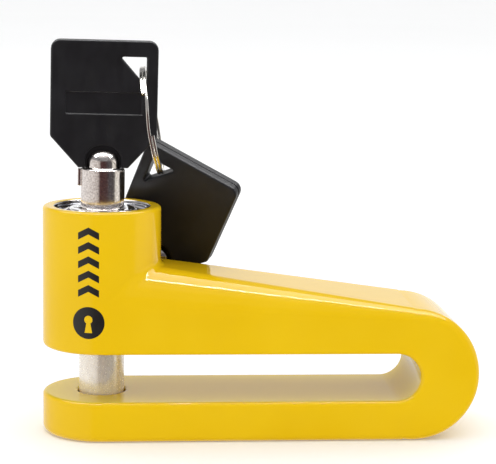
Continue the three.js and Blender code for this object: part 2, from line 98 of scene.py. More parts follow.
# The crease between housing and arm comes in over these distances, along X and above the slot.
CREASE_START = (1, 8)
CREASE_RISE = 6
GUIDE_RADIUS = 1.5
LATCH_ROOM = ((5, -4, 32.3), (11.7, 4, 49.2))

# Plunger slug: its rooms for the lock and the spring, and its two slots
LOCK_ROOM = 7.6
LOCK_FLOOR = 36
SPRING_ROOM = 7.7
SPRING_ROOM_TOP = 28.5
LATCH_CHANNEL = ((-6.5, -3.9, 32.5), (12, 3.9, 37))
GUIDE_GROOVE = ((-1.8, 8.2, 28.6), (1.8, 12, 46.9))

# Lock core
STEM_RADIUS = 1.6
TAIL_RADIUS = 1.1
TAIL_LENGTH = 1.3
PIN_BLOCK_LOW = 42
PIN_BLOCK_HIGH = 44.6
POST_FOOT = 43
POST_RADIUS = 3.6
PIN_COUNT = 7
PIN_CIRCLE = 4.4
LOCK_PIN_HOLE = 0.95
KEYWAY_HALF = 0.8

# Keys, in a key's own frame: origin on its axis at the tip, Z up the key
KEY_CUTS = (0.6, 1.0, 0.4, 0.9, 0.3, 0.7, 1.1)
TUBE_RADIUS = 4.8
TUBE_BORE = 3.95
SHOULDER_Z = 13.6
TAB_REACH = 0.7
RIB_HALF = 0.5
DOME_RADIUS = 3.65
DOME_TOP = 17.7
DOME_ROUND = 3.0
ARCH_HALF = 3.9
ARCH_TOP = 18.6
ARCH_ROUND = 3.4
WEB_HALF = 0.9
HEAD_HALF = 11.6
HEAD_BOTTOM = 13.7
HEAD_CHAMFER = 20.4
HEAD_TOP = 41.4
HEAD_THICK = 3.6
PANEL_HALF = 8.3
PANEL_BOTTOM = 25.4
PANEL_TOP = 30.2
PANEL_DEPTH = 0.4
# Where each key's tip is, and how far the key is turned about Z, X and Y, in degrees
KEY_PLACES = {
    "key_1": ((0, 0, 45), (0, 0, 0.8)),
    "key_2": ((8.35, 22.59, 24.65), (153.87, -18.71, -28.06)),
}

# Split ring: the step from one turn to the next covers STEP_ARC degrees, at STEP_PLACE degrees
RING_RADIUS = 11.5
WIRE_WIDTH = 0.6
WIRE_HEIGHT = 1.0
WIRE_CORNER = 0.14
TURN_PITCH = 0.68
STEP_ARC = 46
STEP_PLACE = 277
RING_STEPS = 300

# Printed marks, on the side that faces -Y: their middle along the wall and their heights up it
INK_DEPTH = 0.06
MARK_MIDDLE = -2.9
BADGE_HEIGHT = 26.6
BADGE_RADIUS = 3.5
CHEVRON_COUNT = 5
CHEVRON_HEIGHT = 32.2
CHEVRON_PITCH = 3.1
CHEVRON_HALF = 2.3
CHEVRON_RISE = 1.2
CHEVRON_THICK = 1.5
# The print is cut into strips this wide, from left to right, so that it can bend round the wall.
STRIP_WIDTH = 0.35
STRIPS_LEFT = -9
STRIPS_RIGHT = 5

# Meshes: points to each rounded corner of a turned profile, less one, and how many times a
# sculpted piece's points are moved towards its surface
FILLET_STEPS = 4
SETTLE_PASSES = 4


# ---- distance fields ----------------------------------------------------------------------
# A solid is a function that takes arrays x, y, z and gives the distance to its surface,
# negative inside.


def round_and(a, b, r):
    """What is in both a and b, with a fillet of radius r along their edge."""
    corner = np.hypot(np.maximum(a + r, 0), np.maximum(b + r, 0))
    return np.minimum(np.maximum(a, b), -r) + corner


def round_or(a, b, r):
    """What is in a or b, with a fillet of radius r in the corner between them."""
    return -round_and(-a, -b, r)


def round_cut(a, b, r):
    """a without b, with its new edges rounded to radius r."""
    return round_and(a, -b, r)


def smooth(value, low, high):
    """0 below low, 1 above high, and a smooth step between them."""
    t = np.clip((value - low) / (high - low), 0, 1)
    return t * t * (3 - 2 * t)


def pillar(x, y, z, radius, low, high, r_low, r_high):
    """An upright round solid whose two ends have rounded edges."""
    side = np.hypot(x, y) - radius
    return round_and(round_and(side, low - z, r_low), z - high, r_high)


def slab(x, y, z, low, high, r=0.0):
    """A box from low to high with rounded edges."""
    middle = [(a + b) / 2 for a, b in zip(low, high)]
    half = [(b - a) / 2 - r for a, b in zip(low, high)]
    q = [np.abs(v - m) - h for v, m, h in zip((x, y, z), middle, half)]
    outside = np.sqrt(sum(np.maximum(v, 0) ** 2 for v in q))
    return outside + np.minimum(np.maximum(np.maximum(q[0], q[1]), q[2]), 0) - r


def polygon(u, v, points):
    """Distance to a closed outline in a plane, negative inside."""
    best = np.full(np.shape(u), 1e9)
    sign = np.ones(np.shape(u))
    for (au, av), (bu, bv) in zip(points, points[-1:] + points[:-1]):
        eu, ev = bu - au, bv - av
        wu, wv = u - au, v - av
        t = np.clip((wu * eu + wv * ev) / (eu * eu + ev * ev), 0, 1)
        best = np.minimum(best, (wu - eu * t) ** 2 + (wv - ev * t) ** 2)
        above = v >= av
        below = v < bv
        left = eu * wv > ev * wu
        flip = (above & below & left) | (~above & ~below & ~left)
        sign = np.where(flip, -sign, sign)
    return sign * np.sqrt(best)


def edge_cells(values, axis):
    """Whether each grid point is inside the solid, and whether its next one along the axis is."""
    inside = values < 0
    take = [slice(None)] * 3
    take[axis] = slice(0, -1)
    first = inside[tuple(take)]
    take[axis] = slice(1, None)
    second = inside[tuple(take)]
    return first, second


def net(solid, low, high, cell):
    """A quad mesh of a solid's surface: one point in each cell that the surface passes through,
    moved onto the surface, with the solid's own gradient as its normal."""
    # The grid reaches past the box on every side, so that the surface closes.
    axes = [np.arange(a - 1.5 * cell, b + 2.5 * cell, cell) for a, b in zip(low, high)]
    grid = np.meshgrid(*axes, indexing="ij")
    values = solid(*grid)
    number = np.array(values.shape)
    cells = tuple(number - 1)
    total = np.zeros(cells + (3,))
    hits = np.zeros(cells)
    for axis in range(3):
        first, second = edge_cells(values, axis)
        at = np.argwhere(first != second)
        step = np.zeros(3, int)
        step[axis] = 1
        a = values[tuple(at.T)]
        b = values[tuple((at + step).T)]
        crossing = at.astype(float)
        crossing[:, axis] += a / (a - b)
        others = [k for k in range(3) if k != axis]
        for i in (0, 1):
            for j in (0, 1):
                place = at.copy()
                place[:, others[0]] -= i
                place[:, others[1]] -= j
                np.add.at(total, tuple(place.T), crossing)
                np.add.at(hits, tuple(place.T), 1)
    used = hits > 0
    index = np.full(cells, -1)
    index[used] = np.arange(used.sum())
    origin = np.array([a[0] for a in axes])
    points = total[used] / hits[used][:, None] * cell + origin
    quads = []
    for axis in range(3):
        first, second = edge_cells(values, axis)
        u, v = [(1, 2), (2, 0), (0, 1)][axis]
        for out in (True, False):
            at = np.argwhere(first & ~second if out else ~first & second)
            ring = []
            for i, j in ((1, 1), (0, 1), (0, 0), (1, 0)):
                place = at.copy()
                place[:, u] -= i
                place[:, v] -= j
                ring.append(index[tuple(place.T)])
            quads.append(np.stack(ring if out else ring[::-1], axis=1))
    quads = np.concatenate(quads)
    for _ in range(SETTLE_PASSES):
        gradient = slope(solid, points)
        distance = solid(*points.T)
        points = points - np.clip(distance, -cell / 2, cell / 2)[:, None] * gradient
    return points, quads, slope(solid, points)


def slope(solid, points, h=0.01):
    """The unit gradient of a solid's distance at some points."""
    parts = []
    for axis in range(3):
        step = np.zeros(3)
        step[axis] = h
        parts.append(solid(*(points + step).T) - solid(*(points - step).T))
    gradient = np.stack(parts, axis=1)
    return gradient / np.maximum(np.linalg.norm(gradient, axis=1), 1e-9)[:, None]


# ---- meshes -------------------------------------------------------------------------------


def new_piece(name, points, faces, normals=None):
    """A mesh object from points in millimetres."""
    mesh = bpy.data.meshes.new(name)
    corners = (np.asarray(points) * MM).tolist()
    mesh.from_pydata(corners, [], np.asarray(faces, dtype=object).tolist())
    mesh.validate()
    mesh.polygons.foreach_set("use_smooth", [True] * len(mesh.polygons))
    if normals is not None:
        mesh.normals_split_custom_set_from_vertices(np.asarray(normals).tolist())
    mesh.update()
    obj = bpy.data.objects.new(name, mesh)
    bpy.context.scene.collection.objects.link(obj)
    return obj


def sculpted(name, solid, low, high, cell, place=None):
    """A piece from a distance field; place is the matrix, in millimetres, that moves it there."""
    points, quads, normals = net(solid, low, high, cell)
    if place is not None:
        turn = np.array(place.to_3x3())
        points = points @ turn.T + np.array(place.translation)
        normals = normals @ turn.T
    return new_piece(name, points, quads, normals)


def rounded_profile(corners):
    """A closed profile from corners (radius, z, fillet), each turned into a short arc."""
    points = []
    count = len(corners)
    for i, (r, z, fillet) in enumerate(corners):
        here = Vector((r, z))
        before = Vector(corners[i - 1][:2]) - here
        after = Vector(corners[(i + 1) % count][:2]) - here
        if fillet == 0:
            points.append((r, z))
            continue
        half = before.angle(after) / 2
        before.normalize()
        after.normalize()
        reach = fillet / math.tan(half)
        middle = here + (before + after).normalized() * fillet / math.sin(half)
        start = here + before * reach - middle
        end = here + after * reach - middle
        for k in range(FILLET_STEPS + 1):
            spoke = start.lerp(end, k / FILLET_STEPS).normalized() * fillet
            points.append(tuple(middle + spoke))
    return points


def turned(name, corners, segments=128):
    """A round piece about Z from a closed profile that may touch the axis."""
    points = []
    rows = []
    for r, z in rounded_profile(corners):
        if r < 1e-6:
            rows.append([len(points)] * segments)
            points.append((0, 0, z))
            continue
        rows.append(list(range(len(points), len(points) + segments)))
        for k in range(segments):
            angle = 2 * math.pi * k / segments
            points.append((r * math.cos(angle), r * math.sin(angle), z))
    faces = []
    for upper, lower in zip(rows, rows[1:] + rows[:1]):
        for k in range(segments):
            n = (k + 1) % segments
            ring = [upper[k], upper[n], lower[n], lower[k]]
            face = [c for i, c in enumerate(ring) if c not in ring[:i]]
            if len(face) > 2:
                faces.append(face)
    piece = new_piece(name, points, faces)
    soften(piece, 40)
    return piece


def soften(piece, degrees):
    """Keeps edges sharper than this angle crisp and smooths the rest."""
    bpy.context.view_layer.objects.active = piece
    piece.select_set(True)
    bpy.ops.object.shade_smooth_by_angle(angle=math.radians(degrees))
    piece.select_set(False)


# ---- body ---------------------------------------------------------------------------------


def arm(x, y, z):
    """The arm, the jaw and the bend that joins them, as one block before the slot is cut.
    Its top runs down to the far end and meets the bend on a tangent."""
    across = x - BEND_X
    up = z - BEND_RADIUS
    bend = np.hypot(across, up) - BEND_RADIUS
    incline = (up + ARM_SLOPE * across) / math.hypot(1, ARM_SLOPE) - BEND_RADIUS
    top = np.where(across > ARM_SLOPE * up, bend, incline)
    bottom = np.where(across > 0, bend, -z)
    side = np.abs(y) - HALF_WIDTH
    shoulder = np.maximum(SHOULDER - SHOULDER_TAPER * x, SHOULDER_LEAST)
    radius = BASE_ROUND + (shoulder - BASE_ROUND) * smooth(z, JAW_TOP, SLOT_TOP)
    return np.maximum(round_and(np.maximum(top, bottom), side, radius), -x)


def disc_slot(x, z):
    """The slot for the disc: it runs right across, is open towards -X and has a round end."""
    half = (SLOT_TOP - JAW_TOP) / 2
    return np.hypot(np.maximum(x - SLOT_END, 0), z - (SLOT_TOP + JAW_TOP) / 2) - half


def casting(x, y, z):
    """The housing, arm and jaw in one, with the disc slot, the plunger's bore, the pin's hole and
    the rooms for the guide pin and the latch in its walls."""
    post = pillar(x, y, z, HALF_WIDTH, 0, HEIGHT, BASE_ROUND, RIM_ROUND)
    crease = CREASE_ROUND * smooth(x, *CREASE_START) * smooth(z, SLOT_TOP, SLOT_TOP + CREASE_RISE)
    whole = round_or(arm(x, y, z), post, crease)
    whole = round_cut(whole, disc_slot(x, z), SLOT_ROUND)
    radius = np.hypot(x, y)
    whole = round_cut(whole, round_and(radius - BORE_RADIUS, BORE_FLOOR - z, 0.6), 0.45)
    whole = round_cut(whole, round_and(radius - PIN_HOLE, PIN_HOLE_FLOOR - z, 0.5), 0.4)
    guide_x = (GUIDE_LOW[0] + GUIDE_HIGH[0]) / 2
    guide_z = (GUIDE_LOW[2] + GUIDE_HIGH[2]) / 2
    guide = np.hypot(x - guide_x, z - guide_z) - GUIDE_RADIUS - RUNNING_GAP
    whole = round_cut(whole, np.maximum(guide, -y), 0.3)
    return np.maximum(whole, -slab(x, y, z, *LATCH_ROOM))


# ---- plunger and lock core ----------------------------------------------------------------


def slug(x, y, z):
    """The cast slug with its rooms for the lock, the pin and the spring, and its two slots."""
    radius = np.hypot(x, y)
    whole = pillar(x, y, z, SLUG_HIGH[0], SLUG_LOW[2], SLUG_HIGH[2], 0.6, 0.4)
    rooms = (
        np.maximum(radius - LOCK_ROOM, LOCK_FLOOR - z),
        np.maximum(radius - PIN_HOLE, z - PIN_HIGH[2] - RUNNING_GAP),
        np.maximum(radius - SPRING_ROOM, z - SPRING_ROOM_TOP),
        slab(x, y, z, *LATCH_CHANNEL),
        slab(x, y, z, *GUIDE_GROOVE),
    )
    for room in rooms:
        whole = round_cut(whole, room, 0.3)
    return whole


def bezel(x, y, z):
    """The cover of the lock, with the keyway notch on its left."""
    radius = np.hypot(x, y)
    outer, inner = BEZEL_HIGH[0], TUBE_RADIUS + 0.4
    ring = round_and(radius - outer, inner - radius, 0.1)
    ring = round_and(ring, BEZEL_LOW[2] - z, 0.1)
    ring = round_and(ring, z - BEZEL_HIGH[2], 0.4)
    low = (-inner - 0.9, -KEYWAY_HALF, BEZEL_LOW[2] - 1)
    high = (-inner + 1, KEYWAY_HALF, BEZEL_HIGH[2] + 1)
    return round_cut(ring, slab(x, y, z, low, high), 0.12)


def pin_places():
    """The places of the lock's pins, even round their circle."""
    for i in range(PIN_COUNT):
        angle = 2 * math.pi * (i + 0.5) / PIN_COUNT
        yield PIN_CIRCLE * math.cos(angle), PIN_CIRCLE * math.sin(angle)


def spindle(x, y, z):
    """The turning core: post, pin block and stem, with the round of pin holes."""
    top = SPINDLE_HIGH[2]
    stem = pillar(x, y, z, STEM_RADIUS, SPINDLE_LOW[2] + TAIL_LENGTH, POST_FOOT, 0.1, 0.1)
    tail = pillar(x, y, z, TAIL_RADIUS, SPINDLE_LOW[2], POST_FOOT, 0.1, 0.1)
    block = pillar(x, y, z, SPINDLE_HIGH[0], PIN_BLOCK_LOW, PIN_BLOCK_HIGH, 0.15, 0.15)
    post = pillar(x, y, z, POST_RADIUS, POST_FOOT, top, 0.1, 0.45)
    whole = round_or(np.minimum(np.minimum(stem, tail), block), post, 0.1)
    for px, py in pin_places():
        whole = round_cut(whole, np.hypot(x - px, y - py) - LOCK_PIN_HOLE, 0.1)
    low = (-POST_RADIUS - 1, -KEYWAY_HALF, PIN_BLOCK_HIGH + 0.1)
    high = (-POST_RADIUS + 0.9, KEYWAY_HALF, top + 1)
    return round_cut(whole, slab(x, y, z, low, high), 0.12)


# ---- keys ---------------------------------------------------------------------------------


def key_bit(x, y, z):
    """The tubular bit with its cuts, the dome on top, the side tab and the rib in the bore."""
    radius = np.hypot(x, y)
    tube = pillar(x, y, z, TUBE_RADIUS, 0, SHOULDER_Z, 0.25, 0.5)
    dome = pillar(x, y, z, DOME_RADIUS, SHOULDER_Z - 1, DOME_TOP, 0.1, DOME_ROUND)
    whole = round_or(tube, dome, 0.25)
    whole = round_cut(whole, np.maximum(radius - TUBE_BORE, z - SHOULDER_Z + 2), 0.15)
    tab_low = (-TUBE_RADIUS - TAB_REACH, -KEYWAY_HALF, SHOULDER_Z - 4)
    tab_high = (-TUBE_RADIUS + 0.3, KEYWAY_HALF, SHOULDER_Z - 0.2)
    tab = slab(x, y, z, tab_low, tab_high, 0.2)
    rib_low = (-TUBE_BORE - 0.3, -RIB_HALF, 0.6)
    rib_high = (-TUBE_BORE + 0.95, RIB_HALF, SHOULDER_Z - 3)
    rib = slab(x, y, z, rib_low, rib_high, 0.15)
    whole = round_or(whole, np.minimum(tab, rib), 0.15)
    for (px, py), depth in zip(pin_places(), KEY_CUTS):
        notch = np.maximum(np.hypot(x - px, y - py) - LOCK_PIN_HOLE, z - depth)
        whole = round_cut(whole, notch, 0.1)
    return whole


def arc(middle_u, middle_v, radius, start, end, steps):
    """Points on an arc, from one angle to another, in degrees."""
    for k in range(steps + 1):
        angle = math.radians(start + (end - start) * k / steps)
        yield middle_u + radius * math.cos(angle), middle_v + radius * math.sin(angle)


def head_outline():
    """The head's outline: up its right side from the foot and down its left."""
    foot, corner, chamfer = 5.4, 2.0, 0.9
    inner = HEAD_HALF - corner
    right = [(foot, HEAD_BOTTOM)]
    right += arc(HEAD_HALF - chamfer, HEAD_CHAMFER + chamfer / 2, chamfer, -45, 0, 3)
    right += arc(inner, HEAD_TOP - corner, corner, 0, 90, 5)
    return right + [(-u, v) for u, v in reversed(right)]


HEAD_POINTS = head_outline()
# The hole for the ring, drawn in by the radius of its corners.
HOLE_POINTS = [(8.8, 37.6), (8.8, 32.3), (4.1, 37.6)]
HOLE_CORNER = 0.3


def key_head(x, y, z):
    """The moulded head: a rounded plate with an arch over the dome on both faces, a ring hole, a
    recessed panel on its front and the parting line of the mould round its edge."""
    outline = polygon(x, z, HEAD_POINTS)
    hole = polygon(x, z, HOLE_POINTS) - HOLE_CORNER
    plan = round_cut(outline, hole, 0.1)
    whole = round_and(plan, np.abs(y) - HEAD_THICK / 2, 0.45)
    arch = round_and(np.abs(x) - ARCH_HALF, z - ARCH_TOP, ARCH_ROUND)
    whole = round_cut(whole, round_and(arch, WEB_HALF - np.abs(y), 0.15), 0.3)
    front = -HEAD_THICK / 2
    low = (-PANEL_HALF, front - 2, PANEL_BOTTOM)
    high = (PANEL_HALF, front + PANEL_DEPTH, PANEL_TOP)
    whole = round_cut(whole, slab(x, y, z, low, high, 0.2), 0.18)
    parting = np.hypot(outline, y) - 0.2
    return round_cut(whole, parting, 0.08)


# ---- split ring ---------------------------------------------------------------------------


def wire_section():
    """The strip's section, across the ring and along its axis, with rounded corners."""
    u = WIRE_HEIGHT / 2 - WIRE_CORNER
    v = WIRE_WIDTH / 2 - WIRE_CORNER
    points = []
    for mu, mv, start in ((u, v, 0), (-u, v, 90), (-u, -v, 180), (u, -v, 270)):
        points += arc(mu, mv, WIRE_CORNER, start, start + 90, 3)
    return points


def split_ring(name, joint):
    """Two level turns of strip side by side, with one sideways step between them."""
    section = wire_section()
    sides = len(section)
    share = STEP_ARC / 360
    points = []
    for i in range(RING_STEPS + 1):
        turn = share / 2 + (2 - share) * i / RING_STEPS
        side = TURN_PITCH * (0.5 - float(smooth(turn, 1 - share / 2, 1 + share / 2)))
        angle = 2 * math.pi * turn
        for u, v in section:
            r = RING_RADIUS + u
            points.append((r * math.cos(angle), r * math.sin(angle), v + side))
    last = RING_STEPS * sides
    faces = [list(range(sides)), list(range(last, last + sides))[::-1]]
    for i in range(RING_STEPS):
        here, after = i * sides, (i + 1) * sides
        for k in range(sides):
            n = (k + 1) % sides
            faces.append([here + n, here + k, after + k, after + n])
    axis = -Vector(joint["axis"])
    lean = Vector((0, 0, 1)).rotation_difference(axis).to_matrix().to_4x4()
    spin = Matrix.Rotation(math.radians(STEP_PLACE), 4, "Z")
    place = Matrix.Translation(Vector(joint["pos_m"]) / MM) @ lean @ spin
    piece = new_piece(name, [place @ Vector(p) for p in points], faces)
    soften(piece, 50)
    return piece


# ---- printed marks ------------------------------------------------------------------------


def wrapped(name, outlines, radius):
    """Flat outlines (along the wall, up the wall) as thin solids laid round an upright cylinder.
    Along the wall is measured from the side that faces -Y."""
    bm = bmesh.new()
    outward = Vector((0, -1, 0))
    for outline in outlines:
        bm.faces.new([bm.verts.new((u, 0, v)) for u, v in outline])
    for cut in np.arange(STRIPS_LEFT, STRIPS_RIGHT, STRIP_WIDTH):
        geometry = bm.verts[:] + bm.edges[:] + bm.faces[:]
        bmesh.ops.bisect_plane(
            bm, geom=geometry, plane_co=(cut, 0, 0), plane_no=(1, 0, 0), dist=1e-5
        )
    bmesh.ops.recalc_face_normals(bm, faces=bm.faces)
    for face in bm.faces:
        if face.normal.dot(outward) < 0:
            face.normal_flip()
    skin = bmesh.ops.extrude_face_region(bm, geom=bm.faces[:], use_keep_orig=True)
    for vert in [g for g in skin["geom"] if isinstance(g, bmesh.types.BMVert)]:
        vert.co += outward * INK_DEPTH
    bmesh.ops.recalc_face_normals(bm, faces=bm.faces)
    for vert in bm.verts:
        r = radius + INK_LIFT - INK_DEPTH - vert.co.y
        angle = vert.co.x / radius
        vert.co = Vector((r * math.sin(angle), -r * math.cos(angle), vert.co.z)) * MM
    # bmesh leaves its faces in an order that changes between runs, so they are sorted here.
    bm.verts.index_update()
    faces = []
    for face in bm.faces:
        corners = [vert.index for vert in face.verts]
        first = corners.index(min(corners))
        faces.append(corners[first:] + corners[:first])
    mesh = bpy.data.meshes.new(name)
    mesh.from_pydata([vert.co.copy() for vert in bm.verts], [], sorted(faces))
    bm.free()
    obj = bpy.data.objects.new(name, mesh)
    bpy.context.scene.collection.objects.link(obj)
    return obj


def keyhole_badge(u, v, radius):
    """A round badge with a keyhole in it, as a left and a right half."""
    hole, waist, foot = radius * 0.26, radius * 0.13, radius * 0.24
    low = v - radius * 0.62
    halves = []
    for side in (-1, 1):
        rim = [
            (u + side * radius * math.sin(a), v + radius * math.cos(a))
            for a in np.linspace(0, math.pi, 25)
        ]
        top = v + radius * 0.2
        start = math.asin(waist / hole)
        eye = [
            (u + side * hole * math.sin(a), top - hole * math.cos(a))
            for a in np.linspace(start, math.pi, 9)
        ]
        halves.append(rim + [(u, low), (u + side * foot, low)] + eye)
    return halves


def chevron(u, v):
    """The outline of a chevron that points up, with the middle of its foot at (u, v)."""
    lower = [(u - CHEVRON_HALF, v), (u, v + CHEVRON_RISE), (u + CHEVRON_HALF, v)]
    upper = [(pu, pv + CHEVRON_THICK) for pu, pv in reversed(lower)]
    return lower + upper


def printed_marks():
    """Generic marks: a keyhole badge with a column of chevrons over it."""
    outlines = keyhole_badge(MARK_MIDDLE, BADGE_HEIGHT, BADGE_RADIUS)
    for i in range(CHEVRON_COUNT):
        outlines.append(chevron(MARK_MIDDLE, CHEVRON_HEIGHT + CHEVRON_PITCH * i))
    return wrapped("printed_marks", outlines, HALF_WIDTH)


# ---- materials ----------------------------------------------------------------------------


class Tree:
    """Short ways to add nodes to the node tree of a material or of the world."""

    def __init__(self, tree):
        self.nodes = tree.nodes
        self.links = tree.links

    def feed(self, value, socket):
        """Gives a socket its value, which is a number, a colour or another node's output."""
        if isinstance(value, bpy.types.NodeSocket):
            self.links.new(value, socket)
        else:
            socket.default_value = (*value, 1) if isinstance(value, tuple) else value

    def ranged(self, value, low, high, to_low, to_high):
        """A value that runs from to_low to to_high while the given one runs from low to high."""
        node = self.nodes.new("ShaderNodeMapRange")
        ends = {"From Min": low, "From Max": high, "To Min": to_low, "To Max": to_high}
        for socket, number in ends.items():
            node.inputs[socket].default_value = number
        self.feed(value, node.inputs["Value"])
        return node.outputs["Result"]

    def blended(self, factor, first, second):
        """A mix of two colours."""
        mix = self.nodes.new("ShaderNodeMix")
        mix.data_type = "RGBA"
        self.feed(factor, mix.inputs["Factor"])
        self.feed(first, mix.inputs["A"])
        self.feed(second, mix.inputs["B"])
        return mix.outputs["Result"]

    def maths(self, operation, *values):
        node = self.nodes.new("ShaderNodeMath")
        node.operation = operation
        for socket, value in zip(node.inputs, values):
            self.feed(value, socket)
        return node.outputs[0]

    def split(self, vector):
        """The X, Y and Z of a vector."""
        node = self.nodes.new("ShaderNodeSeparateXYZ")
        self.feed(vector, node.inputs[0])
        return node.outputs

    def between(self, value, low, high, soft):
        """1 where a value lies between two limits, fading to 0 over a soft distance outside."""
        rise = self.ranged(value, low - soft, low, 0, 1)
        fall = self.ranged(value, high, high + soft, 1, 0)
        return self.maths("MULTIPLY", rise, fall)


class Shader(Tree):
    """A material with a Principled shader. Its colour and roughness here are plain ones, which
    most materials replace with a texture."""

    def __init__(self, name, colour, metallic=0.0, roughness=0.4, specular=0.5):
        self.material = bpy.data.materials.new(name)
        self.material.use_nodes = True
        super().__init__(self.material.node_tree)
        self.out = self.nodes["Principled BSDF"]
        self.out.inputs["Base Color"].default_value = (*colour, 1)
        self.out.inputs["Metallic"].default_value = metallic
        self.out.inputs["Roughness"].default_value = roughness
        self.out.inputs["Specular IOR Level"].default_value = specular
        self.place = self.nodes.new("ShaderNodeTexCoord").outputs["Object"]
        self.relief = None

    def noise(self, scale, detail, stretch=(1, 1, 1)):
        """Noise with features of about 1/scale metres, drawn out along an axis by a small stretch
        value."""
        mapping = self.nodes.new("ShaderNodeMapping")
        mapping.inputs["Scale"].default_value = stretch
        self.links.new(self.place, mapping.inputs["Vector"])
        noise = self.nodes.new("ShaderNodeTexNoise")
        noise.inputs["Scale"].default_value = scale
        noise.inputs["Detail"].default_value = detail
        self.links.new(mapping.outputs["Vector"], noise.inputs["Vector"])
        return noise.outputs["Fac"]

    def clouds(self, scale, detail, low, high, stretch=(1, 1, 1)):
        """Noise spread out between two values."""
        return self.ranged(self.noise(scale, detail, stretch), 0.3, 0.7, low, high)

    def colour(self, value):
        self.links.new(value, self.out.inputs["Base Color"])

    def roughness(self, value):
        self.links.new(value, self.out.inputs["Roughness"])

    def bump(self, value, strength, height):
        """Adds a relief of this height, in millimetres, on top of any added before."""
        node = self.nodes.new("ShaderNodeBump")
        node.inputs["Strength"].default_value = strength
        node.inputs["Distance"].default_value = height * MM
        self.links.new(value, node.inputs["Height"])
        if self.relief is not None:
            self.links.new(self.relief, node.inputs["Normal"])
        self.relief = node.outputs["Normal"]
        self.links.new(self.relief, self.out.inputs["Normal"])


def enamel():
    """Gloss yellow enamel over a casting: slight orange peel and a slow drift of its colour, painted
    shade on the slot's walls as a greener, less red yellow, and bare metal in the machined bore."""
    shade = Shader("body_enamel", (0.78, 0.49, 0.006), 0, 0.2, specular=0.25)
    drift = shade.ranged(shade.noise(45, 2), 0.35, 0.65, 0, 1)
    coat = shade.blended(drift, (0.77, 0.485, 0.005), (0.80, 0.515, 0.008))
    x, y, z = shade.split(shade.place)
    # Painted shade: the mask below covers the slot's walls, where a greener, less red yellow stands in for the
    # shade inside the slot.
    side = HALF_WIDTH - 1
    in_height = shade.between(z, (JAW_TOP - 0.05) * MM, (SLOT_TOP + 0.05) * MM, 0.25 * MM)
    in_width = shade.between(y, -side * MM, side * MM, 0.8 * MM)
    in_length = shade.between(x, -HALF_WIDTH * 2 * MM, (SLOT_END + 6) * MM, 1 * MM)
    walls = shade.maths("MULTIPLY", shade.maths("MULTIPLY", in_height, in_width), in_length)
    coat = shade.blended(walls, coat, (0.70, 0.515, 0.012))
    x_squared = shade.maths("MULTIPLY", x, x)
    y_squared = shade.maths("MULTIPLY", y, y)
    from_axis = shade.maths("SQRT", shade.maths("ADD", x_squared, y_squared))
    in_bore = shade.ranged(
        from_axis, (BORE_RADIUS + 0.1) * MM, (BORE_RADIUS + 0.25) * MM, 1, 0
    )
    over_floor = shade.ranged(z, (BORE_FLOOR - 1) * MM, BORE_FLOOR * MM, 0, 1)
    bare = shade.maths("MULTIPLY", in_bore, over_floor)
    shade.colour(shade.blended(bare, coat, (0.42, 0.42, 0.44)))
    shade.links.new(bare, shade.out.inputs["Metallic"])
    shade.roughness(shade.clouds(260, 3, 0.06, 0.11))
    shade.bump(shade.noise(320, 2), strength=0.12, height=0.02)
    shade.bump(shade.noise(2400, 2), strength=0.05, height=0.004)
    return shade.material


def ink():
    """Matt black print."""
    shade = Shader("print_ink", (0.012, 0.011, 0.010), 0, 0.35)
    shade.roughness(shade.clouds(900, 3, 0.28, 0.42))
    shade.bump(shade.noise(3500, 2), strength=0.2, height=0.004)
    return shade.material


def metal(name, dark, light, rough, grain=(1, 1, 1), fine=900, relief=0.15, wear=120, metallic=1.0):
    """A metal with a cloudy tone, a rough range, and a fine grain that can be drawn out along an
    axis. fine and wear are the scales of the grain and of the clouds."""
    shade = Shader(name, light, metallic, sum(rough) / 2)
    shade.colour(shade.blended(shade.clouds(wear, 4, 0, 1), dark, light))
    grains = shade.noise(fine, 3, grain)
    shade.roughness(shade.ranged(grains, 0.3, 0.7, *rough))
    shade.bump(grains, strength=relief, height=0.006)
    shade.bump(shade.noise(70, 1), strength=0.08, height=0.04)
    return shade.material


def plastic():
    """Black moulded plastic with a fine spark-eroded grain and faint handling marks."""
    shade = Shader("key_plastic", (0.012, 0.012, 0.014), 0, 0.42, specular=0.35)
    cloud = shade.clouds(160, 4, 0, 1)
    shade.colour(shade.blended(cloud, (0.007, 0.007, 0.009), (0.012, 0.012, 0.015)))
    shade.roughness(shade.clouds(700, 5, 0.34, 0.5, stretch=(1, 1, 0.25)))
    shade.bump(shade.noise(4200, 2), strength=0.35, height=0.012)
    return shade.material


# Drawn steel and turned brass have their grain squeezed along Z.
DRAWN = (1, 1, 6)

INK = ink()
ENAMEL = enamel()
PIN_NICKEL = metal(
    "pin_nickel", (0.86, 0.82, 0.78), (0.98, 0.95, 0.91), (0.18, 0.3),
    fine=2200, relief=0.3, wear=900, metallic=0.5,
)
KEY_NICKEL = metal(
    "key_nickel", (0.54, 0.49, 0.47), (0.86, 0.81, 0.78), (0.10, 0.2),
    fine=1900, relief=0.45, wear=2600,
)
RING_NICKEL = metal(
    "ring_nickel", (0.66, 0.63, 0.58), (0.82, 0.80, 0.76), (0.12, 0.24),
    fine=1200, relief=0.2, wear=200,
)
CHROME = metal(
    "face_chrome", (0.78, 0.78, 0.80), (0.88, 0.88, 0.89), (0.03, 0.08),
    fine=800, relief=0.05,
)
ZINC = metal(
    "plunger_zinc", (0.48, 0.48, 0.49), (0.64, 0.64, 0.65), (0.3, 0.45),
    fine=700, relief=0.4,
)
BRASS = metal(
    "lock_brass", (0.62, 0.42, 0.15), (0.80, 0.60, 0.27), (0.2, 0.34),
    grain=DRAWN, fine=600, relief=0.25,
)
STEEL = metal(
    "hard_steel", (0.40, 0.40, 0.41), (0.58, 0.58, 0.59), (0.2, 0.35),
    grain=DRAWN, fine=700, relief=0.25,
)
SPRING_WIRE = metal(
    "spring_steel", (0.34, 0.34, 0.36), (0.52, 0.52, 0.54), (0.25, 0.4),
    relief=0.2,
)

